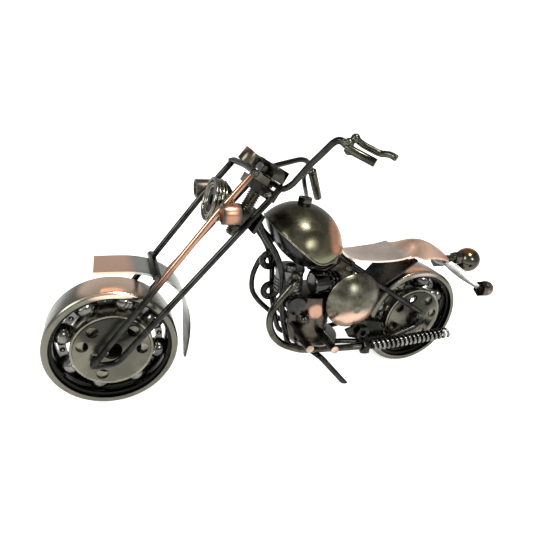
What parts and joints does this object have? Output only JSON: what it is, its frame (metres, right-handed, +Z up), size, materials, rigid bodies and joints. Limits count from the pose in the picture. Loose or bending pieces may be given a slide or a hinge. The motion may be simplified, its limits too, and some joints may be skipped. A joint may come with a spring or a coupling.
{
  "type": "welded chopper motorcycle ornament",
  "caption": "Chopper motorcycle desk ornament welded from ball bearings, steel rod, nuts, bolts, a spring and stamped sheet, in antiqued gunmetal and copper",
  "frame": {"origin": "On the ground, under the middle of the whole object", "axes": "+X towards the tail, +Y to the right-hand (far) side, +Z up; the machine faces -X"},
  "size_m": [0.1901, 0.0739, 0.1057],
  "materials": {
    "gunmetal": "black-nickel plated steel, rubbed and lacquered, glossy",
    "black_rod": "blackened steel rod under clear lacquer, glossy",
    "copper_bronze": "antique copper rubbed through the dark plating, semi-gloss",
    "pale_zinc": "pale grey cast or zinc-plated steel, satin",
    "bearing_steel": "plated bearing steel, balls glossy, cage satin"
  },
  "bodies": {
    "chassis": {"neck_nut": "black_rod", "neck_plate": "black_rod", "frame_tube_left": "black_rod", "frame_tube_right": "black_rod", "spine_rods": "black_rod", "upper_stays": "black_rod", "rear_weld_studs": "black_rod", "rear_inner_race": "gunmetal", "rear_hub_discs": "gunmetal", "tank_dome": "gunmetal", "tank_pan": "black_rod", "filler_cap": "gunmetal", "seat": "copper_bronze", "rear_fender_lower": "black_rod", "rear_fender_upper": "copper_bronze", "tail_bracket": "pale_zinc", "tail_light": "gunmetal", "tail_collars": "copper_bronze", "turn_signals": "gunmetal", "crankcase": "copper_bronze", "engine_base_plate": "pale_zinc", "front_cylinder": "pale_zinc", "rear_cylinder": "black_rod", "engine_fasteners": "gunmetal", "timing_cover": "black_rod", "side_caps": "gunmetal", "cap_spindle": "black_rod", "breather_ball": "gunmetal", "exhaust_header": "gunmetal", "muffler_spring": "black_rod", "far_pipe": "black_rod", "foot_pegs": "copper_bronze", "kickstand": "black_rod", "chain_plate": "black_rod"},
    "fork": {"fork_rod_left": "black_rod", "fork_rod_right": "black_rod", "fork_cross_rods": "black_rod", "steering_bolt": "gunmetal", "steering_nuts": "black_rod", "upper_yoke": "black_rod", "handlebar": "black_rod", "grips": "black_rod", "control_levers": "black_rod", "control_balls": "black_rod", "clamp_bar": "black_rod", "speedometer": "copper_bronze", "headlight_ring": "gunmetal", "headlight_core": "black_rod", "headlight_shell": "black_rod", "spot_lamps": "copper_bronze", "front_fender": "copper_bronze", "fender_stay": "black_rod", "front_inner_race": "gunmetal", "front_hub_discs": "gunmetal"},
    "front_wheel": {"front_outer_race": "gunmetal"},
    "front_bearing_cage": {"front_cage": "bearing_steel", "front_balls": "bearing_steel"},
    "rear_wheel": {"rear_outer_race": "gunmetal"},
    "rear_bearing_cage": {"rear_cage": "bearing_steel", "rear_balls": "bearing_steel"}
  },
  "joints": [
    {"name": "steering", "type": "hinge", "parent": "chassis", "child": "fork", "pos_m": [-0.0238, 0, 0.073], "axis": [0.4679, 0, 0.8838], "range_deg": [-25, 25]},
    {"name": "front_wheel_spin", "type": "hinge", "parent": "fork", "child": "front_wheel", "pos_m": [-0.0715, 0, 0.0235], "axis": [0, 1, 0], "continuous": true},
    {"name": "front_cage_spin", "type": "hinge", "parent": "fork", "child": "front_bearing_cage", "pos_m": [-0.0715, 0, 0.0235], "axis": [0, 1, 0], "continuous": true},
    {"name": "rear_wheel_spin", "type": "hinge", "parent": "chassis", "child": "rear_wheel", "pos_m": [0.0595, 0, 0.0235], "axis": [0, 1, 0], "continuous": true},
    {"name": "rear_cage_spin", "type": "hinge", "parent": "chassis", "child": "rear_bearing_cage", "pos_m": [0.0595, 0, 0.0235], "axis": [0, 1, 0], "continuous": true}
  ],
  "couplings": [
    {"joint": "front_cage_spin", "follows": "front_wheel_spin", "ratio": 0.6161},
    {"joint": "rear_cage_spin", "follows": "rear_wheel_spin", "ratio": 0.6161}
  ]
}
